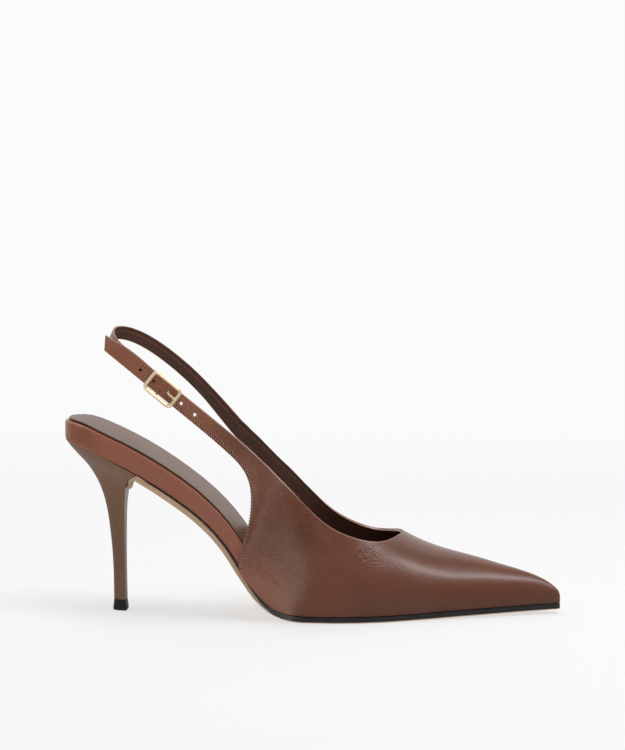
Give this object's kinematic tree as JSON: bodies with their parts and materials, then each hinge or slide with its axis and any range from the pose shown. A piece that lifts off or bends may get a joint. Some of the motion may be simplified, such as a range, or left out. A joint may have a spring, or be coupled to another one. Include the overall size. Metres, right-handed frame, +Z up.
{
  "type": "slingback pump",
  "caption": "Right slingback pump in brown leather with a pointed toe, high slim heel, leather sole and buckled heel strap.",
  "frame": {"origin": "bottom centre of the bounding box, on the floor that the shoe stands on", "axes": "+X along the shoe towards the toe, +Y towards the inner side of this right shoe, +Z up"},
  "size_m": [0.25, 0.0766, 0.1439],
  "materials": {
    "brown_leather": "smooth calf leather with a soft sheen",
    "sock_leather": "smooth taupe lining leather",
    "sole_leather": "tan sole leather with a near-black painted edge",
    "heel_lacquer": "glossy brown lacquer",
    "top_piece_rubber": "matt black",
    "pale_gold": "polished pale gold plating"
  },
  "bodies": {
    "root": {"outsole": "sole_leather", "heel": "heel_lacquer", "top_piece": "top_piece_rubber", "insole": "brown_leather", "sock": "sock_leather", "upper": "brown_leather", "sling_strap": "brown_leather", "buckle": "pale_gold", "prong": "pale_gold"}
  },
  "joints": []
}
